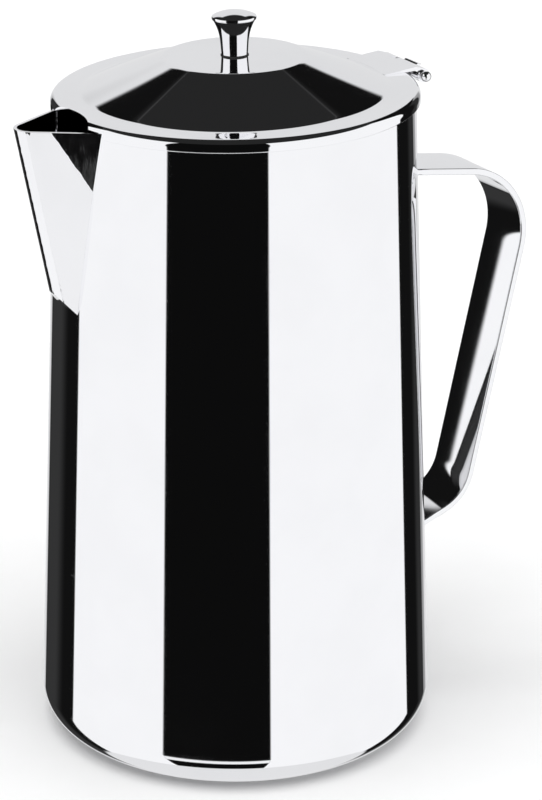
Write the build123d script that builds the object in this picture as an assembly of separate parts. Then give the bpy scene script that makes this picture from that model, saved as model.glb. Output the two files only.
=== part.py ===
from build123d import *
from math import asin, cos, degrees, radians, sin, sqrt, tan
import os

# Catering coffee pot, two litres, polished stainless steel. Millimetres, +Z up.
# The origin is the middle of the foot, on the table. The spout points to -X, the
# handle and the lid's hinge are at +X, and the hinge pin runs along Y.

# Body: a rolled wall, wider at the foot, on a pressed base
base_radius = 60.4          # outer radius where the wall's line meets the table
rim_radius = 52.5           # outer radius at the rim
rim_height = 196.3
sheet = 1.0                 # steel of the wall, the base and the spout
corner_radius = 10.5        # outer bend of the base
seam_height = 12.0          # where the base pan meets the wall
foot_ring_width = 9.0       # flat ring that stands on the table
base_lift = 1.2             # how far the base's middle is pressed up
base_step_run = 3.0         # run of the slope between the ring and the middle

# Spout: two flat flanks folded about a rounded keel, closed at the foot
spout_reach = 69.8          # radius of the keel at the top edge
spout_top = 195.4           # height of the top edge
keel_slope = 11.2           # degrees between the keel and the vertical
flank_angle = 32.0          # degrees between a flank and the spout's middle plane
keel_radius = 5.6           # outer bend along the keel
spout_foot = 140.0          # height where the underside meets the wall
foot_slope = 48.0           # degrees that the underside rises outwards
foot_radius = 7.5           # outer bend round the underside
notch_ledge = 0.6           # how far the wall's notch stays inside the spout

# Handle: a flat strap bent twice
strap_width = 19.5
strap_thickness = 2.0
handle_top = 169.3          # upper face of the strap at the wall
handle_bottom = 50.1        # lower face of the strap at the wall
handle_reach = 101.4        # radius of the upper corner before bending
upper_arm_drop = 7.4        # degrees that the upper arm falls outwards
leg_lean = 12.5             # degrees between the leg and the vertical
lower_arm_rise = 20.5       # degrees that the lower arm rises outwards
upper_bend = 23.0           # outer radius of the upper bend
lower_bend = 16.0           # outer radius of the lower bend

# Lid: a pressed cap that overlaps the rim, held slightly high by the hinge
lid_sheet = 0.8
lid_tilt = 1.15             # degrees that the lid leans towards the spout
lid_gap = 0.08              # between the rim and the lid where the lid rests
lid_skirt_gap = 0.45        # radial, between the rim and the lid's skirt
lid_skirt = 2.8             # depth of the skirt under the flange's lower face
lid_edge_bend = 2.2         # outer bend from the skirt to the flange
flange_width = 8.2          # flat ring from the edge to the dome
dome_height = 10.0          # top disc above the flange
disc_radius = 20.6
dome_foot_bend = 5.0
disc_bend = 3.0
bite_depth = 3.8            # how far the bite at the spout reaches into the lid
bite_radius = 26.0
spout_clearance = 0.5       # between the lid and the spout's edges

# Hinge
pin_radius = 1.1
pin_clearance = 0.1         # radial, in the lid's knuckles
knuckle_wall = 0.9
knuckle_gap = 0.3           # between neighbouring knuckles
hinge_width = 22.0          # across the three knuckles
pin_head_radius = 1.6
pin_drop = 1.0              # pin's centre under the flange's lower face
pin_offset = 3.4            # pin's centre beyond the lid's edge
leaf_thickness = 1.2        # where the leaf passes the lid's edge
leaf_tip = 0.3              # at its thin end on the flange
leaf_overlap = 10.0         # how far the lid's leaf reaches over the flange
bracket_thickness = 1.2
bracket_depth = 12.0        # height of the plate on the wall
bracket_top_gap = 1.4       # between the plate's top edge and the lid's skirt
leaf_edge = 0.8             # how far the flat of the lid's leaf passes the lid's edge
open_limit = 110.0          # degrees that the lid swings back to its stop
stop_gap = 0.1              # between the leaf and the stop at that limit
leaf_step_out = 0.4         # how far the leaf's underside passes the lid's edge
leaf_meet = 56.5            # degrees up the barrel where the leaf's top runs into it
arm_root = 4.0              # height of the arm where it leaves the plate
arm_start = 2.0             # depth inside the wall that the arm is drawn from, then trimmed
arm_corner_in = 1.9         # inwards from the pin's centre, where the arm turns up
arm_corner_drop = 1.2       # below the pin's centre, at the same place
arm_top_in = 0.4            # inwards from the pin's centre, where the arm's top ends
pin_head_seat = 0.7         # share of a head's radius that its centre stands off

# Knob and its fixing
knob_foot_radius = 3.9
knob_waist_radius = 4.3
knob_head_radius = 6.5
knob_height = 11.2          # to the widest edge
knob_crown = 1.6            # domed top above that edge
knob_edge = 0.7             # height of the rounded edge
gasket_thickness = 0.25
gasket_overhang = 0.2
screw_radius = 1.5
screw_depth = 7.0           # thread inside the knob
screw_head_radius = 2.9
screw_head_height = 1.8
screw_slot_width = 0.8
screw_slot_depth = 0.8
washer_radius = 4.5
washer_thickness = 0.8
bore_clearance = 0.2        # radial, round the screw in the lid, gasket and washer

WALL_SLOPE = (base_radius - rim_radius) / rim_height


def wall_radius(height):
    """Outer radius of the body at a height."""
    return base_radius - WALL_SLOPE * height


def spun_sheet(points, bends, thickness):
    """Sheet of revolution: an outer line in the XZ plane, thickened inwards."""
    outer_line = FilletPolyline(*points, radius=bends)
    return revolve(make_face(offset(outer_line, amount=thickness, side=Side.RIGHT)), Axis.Z)


def frustum(low, high, inset=0.0):
    """Solid inside the body's outer wall, from one height to another."""
    outline = Polyline(
        (0, 0, low),
        (wall_radius(low) - inset, 0, low),
        (wall_radius(high) - inset, 0, high),
        (0, 0, high),
        (0, 0, low),
    )
    return revolve(make_face(outline), Axis.Z)


def upright_prism(points, y_from, y_to):
    """Solid with its outline in the XZ plane, between two values of Y."""
    face = make_face(Polyline(*[(x, y_from, z) for x, z in points], close=True))
    return extrude(face, amount=y_to - y_from, dir=(0, 1, 0))


def rod(radius, y_from, y_to):
    """Cylinder along Y."""
    start = Plane(origin=(0, y_from, 0), z_dir=(0, 1, 0))
    return extrude(start * Circle(radius), amount=y_to - y_from)


def save(shape, node):
    """One file for one piece."""
    export_step(shape, f"parts/{node}.step")


# ---------------------------------------------------------------- body and base
ring_inner = base_radius - corner_radius - foot_ring_width
body_points = [
    (0, 0, base_lift),
    (ring_inner - base_step_run, 0, base_lift),
    (ring_inner, 0, 0),
    (base_radius, 0, 0),
    (rim_radius, 0, rim_height),
]
whole_body = spun_sheet(body_points, [2 * sheet, 2 * sheet, corner_radius], sheet)
reach = 2 * base_radius
below_seam = Pos(0, 0, seam_height / 2 - 1) * Box(reach, reach, seam_height + 2)
base_pan = whole_body & below_seam
body_tube = whole_body - below_seam


# ------------------------------------------------------------------------ spout
def spout_wedge(inset, top):
    """Folded wedge: two flanks, a keel and an underside, moved in by inset."""
    lean = tan(radians(keel_slope))
    half = radians(flank_angle)
    # Distance from the keel's rounded line out to the sharp fold of the flanks
    fold = keel_radius * (1 / sin(half) - 1)
    low = spout_foot - 12

    def outline(height):
        tip = -(spout_reach + fold - lean * (spout_top - height)) + inset / sin(half)
        back = -wall_radius(height) * 0.45
        spread = (back - tip) * tan(half)
        return make_face(
            Polyline((tip, 0, height), (back, spread, height), (back, -spread, height), close=True)
        )

    wedge = loft([outline(low), outline(top)])
    # The underside passes through the wall at the spout's foot and rises outwards
    start_x = -wall_radius(spout_foot)
    rise = tan(radians(foot_slope))
    lift = inset / cos(radians(foot_slope))
    near_x, far_x = start_x + 40, start_x - 60
    under = [
        (near_x, spout_foot + lift + rise * (start_x - near_x)),
        (far_x, spout_foot + lift + rise * (start_x - far_x)),
        (far_x, low - 40),
        (near_x, low - 40),
    ]
    wedge -= upright_prism(under, -reach, reach)
    outer = wedge.faces().filter_by(lambda face: abs(face.normal_at().Y) > 0.3)
    keel = [e for e in outer[0].edges() for f in outer[1].edges() if e.center() == f.center()]
    wedge = fillet(keel, keel_radius - inset)
    under_face = wedge.faces().sort_by(Axis.Z)[0]
    front = [e for e in under_face.edges() if e.center().X < near_x - 5]
    return fillet(front, foot_radius - inset)


inside_wall = frustum(seam_height, rim_height + 20)
spout_outer = spout_wedge(0, spout_top)
spout_inner = spout_wedge(sheet, spout_top + 20)
spout = spout_outer - spout_inner - inside_wall
notch = spout_wedge(sheet + notch_ledge, rim_height + 20) & Pos(-reach / 2, 0, rim_height) * Box(
    reach, reach, 2 * rim_height
)
body_wall = body_tube - notch

# ----------------------------------------------------------------------- handle
arm_fall = tan(radians(upper_arm_drop))
leg_run = tan(radians(leg_lean))
arm_rise = tan(radians(lower_arm_rise))
top_start = wall_radius(handle_top)
bottom_start = wall_radius(handle_bottom)
upper_corner_z = handle_top - arm_fall * (handle_reach - top_start)
# The lower corner is where the leg's line meets the lower arm's line
lower_corner_x = (
    handle_reach - leg_run * (upper_corner_z - handle_bottom + arm_rise * bottom_start)
) / (1 - leg_run * arm_rise)
lower_corner_z = handle_bottom + arm_rise * (lower_corner_x - bottom_start)
run_in = 8.0                # length of strap that is trimmed off inside the wall
strap_line = FilletPolyline(
    (top_start - run_in, 0, handle_top + arm_fall * run_in),
    (handle_reach, 0, upper_corner_z),
    (lower_corner_x, 0, lower_corner_z),
    (bottom_start - run_in, 0, handle_bottom - arm_rise * run_in),
    radius=[upper_bend, lower_bend],
)
strap_face = make_face(offset(strap_line, amount=strap_thickness, side=Side.RIGHT))
handle = Pos(0, strap_width / 2, 0) * extrude(strap_face, amount=strap_width, dir=(0, -1, 0))
handle -= inside_wall

# -------------------------------------------------------------------------- lid
# The lid is drawn level, with z = 0 at the flange's lower face, and then placed.
skirt_inner = rim_radius + lid_skirt_gap
lid_radius = skirt_inner + lid_sheet
dome_radius = lid_radius - flange_width
# The rim's outer edge meets the inner bend before it meets the flange's lower face
inner_bend = lid_edge_bend - lid_sheet
bend_overlap = max(0, inner_bend - lid_skirt_gap)
bend_room = inner_bend - sqrt(inner_bend**2 - bend_overlap**2)
lid_seat = rim_height + lid_gap + bend_room + rim_radius * sin(radians(lid_tilt))
lid_place = Location((0, 0, lid_seat), (0, -lid_tilt, 0))
lid_points = [
    (lid_radius, 0, -lid_skirt),
    (lid_radius, 0, lid_sheet),
    (dome_radius, 0, lid_sheet),
    (disc_radius, 0, lid_sheet + dome_height),
    (0, 0, lid_sheet + dome_height),
]
lid_level = spun_sheet(lid_points, [lid_edge_bend, dome_foot_bend, disc_bend], lid_sheet)
bite_center = -(lid_radius - bite_depth + bite_radius)
lid_level -= Pos(bite_center, 0, 0) * Cylinder(bite_radius, 40)
lid_level -= Cylinder(screw_radius + bore_clearance, 80)
lid_shell = lid_place * lid_level
lid_shell -= spout_wedge(-spout_clearance, spout_top + spout_clearance)

# ------------------------------------------------------------------------ hinge
pin_x = lid_radius + pin_offset
pin_level = Pos(pin_x, 0, -pin_drop)
pin_place = lid_place * pin_level
barrel_radius = pin_radius + pin_clearance + knuckle_wall
knuckle_width = (hinge_width - 2 * knuckle_gap) / 3
leaf_start = lid_radius - leaf_overlap
leaf_end = lid_radius + leaf_edge
leaf_under = lid_sheet
leaf_top = leaf_under + leaf_thickness

# The lid's leaf lies on the flange, then bends down over the barrel
leaf_section = [
    (leaf_start, leaf_under),
    (leaf_start, leaf_under + leaf_tip),
    (leaf_end, leaf_top),
    (
        pin_x + barrel_radius * cos(radians(leaf_meet)),
        -pin_drop + barrel_radius * sin(radians(leaf_meet)),
    ),
    (pin_x, -pin_drop),
    (lid_radius + leaf_step_out, leaf_under),
]
leaf = upright_prism(leaf_section, -hinge_width / 2, hinge_width / 2)
leaf += pin_level * rod(barrel_radius, -hinge_width / 2, hinge_width / 2)
slot = knuckle_width + 2 * knuckle_gap
leaf -= Pos(leaf_end + reach / 2, 0, 0) * Box(reach, slot, reach)
leaf -= pin_level * rod(pin_radius + pin_clearance, -hinge_width, hinge_width)
leaf -= lid_level
hinge_leaf = lid_place * leaf

# The body's bracket: a plate on the wall, an arm out and up, and the middle knuckle.
# The arm's outer end is the stop that the leaf's edge meets when the lid is open.
pin_center = pin_place.position
open_place = pin_place * Rot(0, open_limit, 0) * pin_level.inverse()
stop_inner, stop_outer = [
    (open_place * Pos(leaf_end + stop_gap, 0, level)).position for level in (leaf_under, leaf_top)
]
plate_top = lid_seat - lid_skirt - bracket_top_gap
plate_bottom = plate_top - bracket_depth
plate = Pos(rim_radius, 0, (plate_top + plate_bottom) / 2) * Box(
    2 * rim_radius / 3, hinge_width, bracket_depth
)
plate &= frustum(0, rim_height, -bracket_thickness)
plate -= inside_wall
arm_section = [
    (wall_radius(plate_top) - arm_start, plate_top),
    (wall_radius(plate_top) - arm_start, plate_top - arm_root),
    (wall_radius(plate_top) + bracket_thickness, plate_top - arm_root),
    (stop_outer.X, stop_outer.Z),
    (stop_inner.X, stop_inner.Z),
    (pin_center.X - arm_top_in, pin_center.Z),
    (pin_center.X - arm_corner_in, pin_center.Z - arm_corner_drop),
]
arm = upright_prism(arm_section, -knuckle_width / 2, knuckle_width / 2) - inside_wall
knuckle = Pos(pin_center.X, 0, pin_center.Z) * rod(barrel_radius, -knuckle_width / 2, knuckle_width / 2)
hinge_bracket = plate + arm + knuckle
hinge_bracket -= Pos(pin_center.X, 0, pin_center.Z) * rod(pin_radius, -hinge_width, hinge_width)

head_center = hinge_width / 2 + pin_clearance + pin_head_radius * pin_head_seat
hinge_pin = rod(pin_radius, -head_center, head_center)
for side in (-1, 1):
    hinge_pin += Pos(0, side * head_center, 0) * Sphere(pin_head_radius)
hinge_pin = Pos(pin_center.X, 0, pin_center.Z) * hinge_pin

# ------------------------------------------------------------ knob and its screw
disc_top = lid_sheet + dome_height
disc_under = disc_top - lid_sheet
gasket = Pos(0, 0, disc_top + gasket_thickness / 2) * Cylinder(
    knob_foot_radius + gasket_overhang, gasket_thickness
)
gasket -= Cylinder(screw_radius + bore_clearance, 80)
knob_foot = disc_top + gasket_thickness
knob_rim = knob_foot + knob_height
thread_end = knob_foot + screw_depth
crown_radius = (knob_head_radius**2 + knob_crown**2) / (2 * knob_crown)
crown_side = Plane(origin=(0, 0, knob_rim + knob_crown - crown_radius), x_dir=(1, 0, 0), z_dir=(0, -1, 0))
crown_start = degrees(asin((crown_radius - knob_crown) / crown_radius))
crown_arc = crown_side * CenterArc((0, 0), crown_radius, crown_start, 90 - crown_start)
knob_outline = [
    Line((screw_radius, 0, knob_foot), (knob_foot_radius, 0, knob_foot)),
    ThreePointArc(
        (knob_foot_radius, 0, knob_foot),
        (knob_waist_radius, 0, knob_foot + 0.55 * knob_height),
        (knob_head_radius, 0, knob_rim - knob_edge),
    ),
    Line((knob_head_radius, 0, knob_rim - knob_edge), (knob_head_radius, 0, knob_rim)),
    crown_arc,
    Polyline(
        (0, 0, knob_rim + knob_crown),
        (0, 0, thread_end),
        (screw_radius, 0, thread_end),
        (screw_radius, 0, knob_foot),
    ),
]
knob = revolve(make_face(knob_outline), Axis.Z)

washer = Pos(0, 0, disc_under - washer_thickness / 2) * Cylinder(washer_radius, washer_thickness)
washer -= Cylinder(screw_radius + bore_clearance, 80)
head_top = disc_under - washer_thickness
screw = Pos(0, 0, head_top - screw_head_height / 2) * Cylinder(screw_head_radius, screw_head_height)
shank_length = knob_foot + screw_depth - head_top
screw += Pos(0, 0, head_top + shank_length / 2) * Cylinder(screw_radius, shank_length)
screw -= Pos(0, 0, head_top - screw_head_height + screw_slot_depth / 2) * Box(
    3 * screw_head_radius, screw_slot_width, screw_slot_depth
)

# ------------------------------------------------------------------------ files
os.makedirs("parts", exist_ok=True)
pieces = {
    "body_wall": body_wall,
    "base_pan": base_pan,
    "spout": spout,
    "handle": handle,
    "hinge_bracket": hinge_bracket,
    "hinge_pin": hinge_pin,
    "lid_shell": lid_shell,
    "hinge_leaf": hinge_leaf,
    "knob": lid_place * knob,
    "knob_gasket": lid_place * gasket,
    "knob_washer": lid_place * washer,
    "knob_screw": lid_place * screw,
}
for node, shape in pieces.items():
    save(shape, node)
print("pin centre", tuple(round(v, 3) for v in pin_center))
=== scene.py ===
import logging
import math
from dataclasses import dataclass, field
from enum import Enum
from typing import Iterable, Optional, Sequence

import bmesh
import bpy
from mathutils import Euler, Matrix, Vector


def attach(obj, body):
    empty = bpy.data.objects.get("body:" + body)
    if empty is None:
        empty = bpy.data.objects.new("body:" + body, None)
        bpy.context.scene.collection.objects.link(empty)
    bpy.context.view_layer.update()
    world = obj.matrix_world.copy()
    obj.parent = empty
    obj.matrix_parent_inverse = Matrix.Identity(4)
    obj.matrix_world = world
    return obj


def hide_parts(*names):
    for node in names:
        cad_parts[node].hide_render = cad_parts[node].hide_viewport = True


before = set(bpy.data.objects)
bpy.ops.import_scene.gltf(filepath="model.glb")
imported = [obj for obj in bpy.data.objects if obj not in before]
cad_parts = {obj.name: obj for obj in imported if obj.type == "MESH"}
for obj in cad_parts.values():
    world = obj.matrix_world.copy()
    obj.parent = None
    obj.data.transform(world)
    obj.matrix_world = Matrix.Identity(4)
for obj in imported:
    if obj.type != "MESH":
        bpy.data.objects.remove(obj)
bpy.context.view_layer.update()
log = logging.getLogger("coffee_pot")

MM = 0.001
SHARP_ANGLE = math.radians(32)      # edges sharper than this stay crisp
BEVEL_ANGLE = math.radians(35)      # edges sharper than this are eased
FLAT_ANGLE = math.radians(0.3)      # faces this close to flat become one
NODE_SPACING = 200
CUT_PAST = 20.0                     # how far cutting solids pass the rim, in millimetres
SPREAD_START = 0.45                 # where the spout's cutting wedge starts, as a share of the rim
LINE_STRETCH = 60.0                 # length to width of a polishing line
BUFFED_STRETCH = 1.5                # the same where the finish has no direction
SCRATCH_ROUGHNESS = 0.3
PATCH_TONE = 0.98                   # how much darker the hazy patches are

Pair = tuple[float, float]


class Grain(Enum):
    """Which way the polishing lines run on a piece."""

    ROUND = "round its own axis"
    LENGTHWISE = "up and down"
    NONE = "buffed with no direction"


class Body(Enum):
    """The rigid bodies of the pot."""

    POT = "pot"
    LID = "lid"


# ------------------------------------------------------------------ node helpers
class TreeWriter:
    """Adds nodes to a tree and joins them, left to right."""

    def __init__(self, tree: bpy.types.NodeTree) -> None:
        """Start writing.

        Args:
            tree: the shader or geometry tree that the nodes go into.
        """
        self.tree = tree
        self.column = 0

    def add(self, kind: str, settings: Optional[dict] = None, **inputs: object) -> bpy.types.Node:
        """Add one node.

        Args:
            kind: the node's type name.
            settings: properties of the node, such as its operation.
            inputs: a value or an output socket for each input. A name stands for the socket
                of that name with its spaces as underscores, and in_0 for the first socket.

        Returns:
            The new node.
        """
        node = self.tree.nodes.new(kind)
        node.location = (NODE_SPACING * self.column, 0)
        self.column += 1
        for name, value in (settings or {}).items():
            setattr(node, name, value)
        for name, value in inputs.items():
            socket = self.socket(node, name)
            if isinstance(value, bpy.types.NodeSocket):
                self.tree.links.new(value, socket)
            else:
                socket.default_value = value
        return node

    @staticmethod
    def socket(node: bpy.types.Node, name: str) -> bpy.types.NodeSocket:
        """Find an input socket.

        Args:
            node: the node to look in.
            name: the socket's name with underscores for spaces, or in_ and its number.

        Returns:
            The socket.
        """
        if name.startswith("in_"):
            return node.inputs[int(name[3:])]
        return node.inputs[name.replace("_", " ")]

    def math(self, operation: str, first: object, second: object = 0.0) -> bpy.types.NodeSocket:
        """One step of arithmetic.

        Args:
            operation: the sum's name, such as ADD.
            first: a number or a socket.
            second: a number or a socket.

        Returns:
            The result as a socket.
        """
        step = self.add("ShaderNodeMath", {"operation": operation}, in_0=first, in_1=second)
        return step.outputs[0]

    def ramp(
        self, value: object, low: float, high: float, at_low: float = 0.0, at_high: float = 1.0
    ) -> bpy.types.NodeSocket:
        """A smooth step between two values.

        Args:
            value: what the step follows.
            low: where the step starts.
            high: where the step ends.
            at_low: result up to the start.
            at_high: result from the end on.

        Returns:
            The result as a socket.
        """
        step = self.add(
            "ShaderNodeMapRange",
            {"interpolation_type": "SMOOTHSTEP"},
            Value=value,
            From_Min=low,
            From_Max=high,
            To_Min=at_low,
            To_Max=at_high,
        )
        return step.outputs[0]


def group_tree(
    name: str, kind: str, inputs: Iterable[tuple[str, str, object]], outputs: Iterable[tuple[str, str]]
) -> tuple[bpy.types.NodeTree, TreeWriter, bpy.types.Node, bpy.types.Node]:
    """Make an empty node group with named sockets.

    Args:
        name: the group's name.
        kind: "ShaderNodeTree" or "GeometryNodeTree".
        inputs: name, socket type and starting value of each input.
        outputs: name and socket type of each output.

    Returns:
        The group, its writer, its input node and its output node.
    """
    tree = bpy.data.node_groups.new(name, kind)
    for label, socket_type, value in inputs:
        socket = tree.interface.new_socket(label, in_out="INPUT", socket_type=socket_type)
        if value is not None:
            socket.default_value = value
    for label, socket_type in outputs:
        tree.interface.new_socket(label, in_out="OUTPUT", socket_type=socket_type)
    writer = TreeWriter(tree)
    return tree, writer, writer.add("NodeGroupInput"), writer.add("NodeGroupOutput")


# --------------------------------------------------------------- surface effects
def polishing_lines() -> bpy.types.NodeTree:
    """Fine lines left by a polishing wheel: round the Z axis, or along it.

    Returns:
        A shader group. Its outputs are a height in -0.5 to 0.5 and a patchy mask.
    """
    name = "PolishingLines"
    if name in bpy.data.node_groups:
        return bpy.data.node_groups[name]
    tree, write, given, result = group_tree(
        name,
        "ShaderNodeTree",
        [
            ("Point", "NodeSocketVector", None),
            ("Lines per mm", "NodeSocketFloat", 3.0),
            ("Stretch", "NodeSocketFloat", 60.0),
            ("Round", "NodeSocketFloat", 1.0),
        ],
        [("Height", "NodeSocketFloat"), ("Patches", "NodeSocketFloat")],
    )
    parts = write.add("ShaderNodeSeparateXYZ", Vector=given.outputs["Point"])
    x, y, z = parts.outputs
    across = write.math("MULTIPLY", given.outputs["Lines per mm"], 1 / MM)
    along = write.math("DIVIDE", across, given.outputs["Stretch"])
    squares = write.math("ADD", write.math("POWER", x, 2.0), write.math("POWER", y, 2.0))
    radius = write.math("SQRT", squares)
    angle = write.math("ARCTAN2", y, x)
    arc = write.math("MULTIPLY", angle, 0.05)
    ring = write.add(
        "ShaderNodeCombineXYZ",
        X=write.math("MULTIPLY", arc, along),
        Y=write.math("MULTIPLY", radius, across),
        Z=write.math("MULTIPLY", z, across),
    )
    straight = write.add(
        "ShaderNodeCombineXYZ",
        X=write.math("MULTIPLY", x, across),
        Y=write.math("MULTIPLY", y, across),
        Z=write.math("MULTIPLY", z, along),
    )
    chosen = write.add(
        "ShaderNodeMix",
        {"data_type": "VECTOR"},
        in_0=given.outputs["Round"],
        in_4=straight.outputs[0],
        in_5=ring.outputs[0],
    )
    lines = write.add(
        "ShaderNodeTexNoise", Vector=chosen.outputs[1], Scale=1.0, Detail=2.0, Roughness=0.6
    )
    patches = write.add(
        "ShaderNodeTexNoise", Vector=given.outputs["Point"], Scale=38.0, Detail=3.0, Roughness=0.55
    )
    write.tree.links.new(write.math("SUBTRACT", lines.outputs[0], 0.5), result.inputs["Height"])
    write.tree.links.new(write.ramp(patches.outputs[0], 0.35, 0.7), result.inputs["Patches"])
    return tree


def sheet_waves() -> bpy.types.NodeTree:
    """Slow unevenness of pressed or rolled sheet, which bends reflections a little.

    Returns:
        A shader group with one height output.
    """
    name = "SheetWaves"
    if name in bpy.data.node_groups:
        return bpy.data.node_groups[name]
    tree, write, given, result = group_tree(
        name,
        "ShaderNodeTree",
        [("Point", "NodeSocketVector", None), ("Waves per m", "NodeSocketFloat", 25.0)],
        [("Height", "NodeSocketFloat")],
    )
    squeezed = write.add("ShaderNodeMapping", Vector=given.outputs["Point"], Scale=(1.0, 1.0, 0.3))
    noise = write.add(
        "ShaderNodeTexNoise",
        Vector=squeezed.outputs[0],
        Scale=given.outputs["Waves per m"],
        Detail=1.0,
        Roughness=0.4,
    )
    write.tree.links.new(noise.outputs[0], result.inputs["Height"])
    return tree


def hairline_scratches() -> bpy.types.NodeTree:
    """Sparse hairline scratches and specks from handling.

    Returns:
        A shader group with a mask of the scratches.
    """
    name = "HairlineScratches"
    if name in bpy.data.node_groups:
        return bpy.data.node_groups[name]
    tree, write, given, result = group_tree(
        name,
        "ShaderNodeTree",
        [
            ("Point", "NodeSocketVector", None),
            ("Scratches per m", "NodeSocketFloat", 160.0),
            ("Amount", "NodeSocketFloat", 0.5),
        ],
        [("Mask", "NodeSocketFloat")],
    )
    total: object = 0.0
    for turn in (0.35, 1.9, 2.7):
        turned = write.add(
            "ShaderNodeMapping",
            Vector=given.outputs["Point"],
            Rotation=(turn, turn * 0.7, turn * 1.3),
            Scale=(1.0, 0.05, 1.0),
        )
        cells = write.add(
            "ShaderNodeTexVoronoi",
            {"feature": "F1"},
            Vector=turned.outputs[0],
            Scale=given.outputs["Scratches per m"],
        )
        thin = write.ramp(cells.outputs["Distance"], 0.0, 0.05, 1.0, 0.0)
        total = write.math("MAXIMUM", thin, total)
    write.tree.links.new(write.math("MULTIPLY", total, given.outputs["Amount"]), result.inputs["Mask"])
    return tree


def spout_dish() -> bpy.types.NodeTree:
    """Shallow dish in the flanks of the spout, where they were drawn up to the weld.

    Returns:
        A shader group with one depth output, in metres.
    """
    name = "SpoutDish"
    if name in bpy.data.node_groups:
        return bpy.data.node_groups[name]
    tree, write, given, result = group_tree(
        name,
        "ShaderNodeTree",
        [
            ("Point", "NodeSocketVector", None),
            ("Corner X", "NodeSocketFloat", -60.2 * MM),
            ("Corner Z", "NodeSocketFloat", 192.0 * MM),
            ("Slant", "NodeSocketFloat", 0.6),
            ("Slope", "NodeSocketFloat", 0.07),
            ("Raggedness", "NodeSocketFloat", 0.7 * MM),
        ],
        [("Depth", "NodeSocketFloat")],
    )
    parts = write.add("ShaderNodeSeparateXYZ", Vector=given.outputs["Point"])
    along = write.math("SUBTRACT", parts.outputs[0], given.outputs["Corner X"])
    rise = write.math("SUBTRACT", parts.outputs[2], given.outputs["Corner Z"])
    past = write.math("ADD", along, write.math("MULTIPLY", rise, given.outputs["Slant"]))
    streaks = write.add("ShaderNodeMapping", Vector=given.outputs["Point"], Scale=(1.0, 1.0, 0.08))
    noise = write.add("ShaderNodeTexNoise", Vector=streaks.outputs[0], Scale=800.0, Detail=2.0)
    ragged = write.math("SUBTRACT", noise.outputs[0], 0.5)
    past = write.math("ADD", past, write.math("MULTIPLY", ragged, given.outputs["Raggedness"]))
    inside = write.math("MAXIMUM", past, 0.0)
    depth = write.math("MULTIPLY", inside, given.outputs["Slope"])
    write.tree.links.new(depth, result.inputs["Depth"])
    return tree


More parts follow.
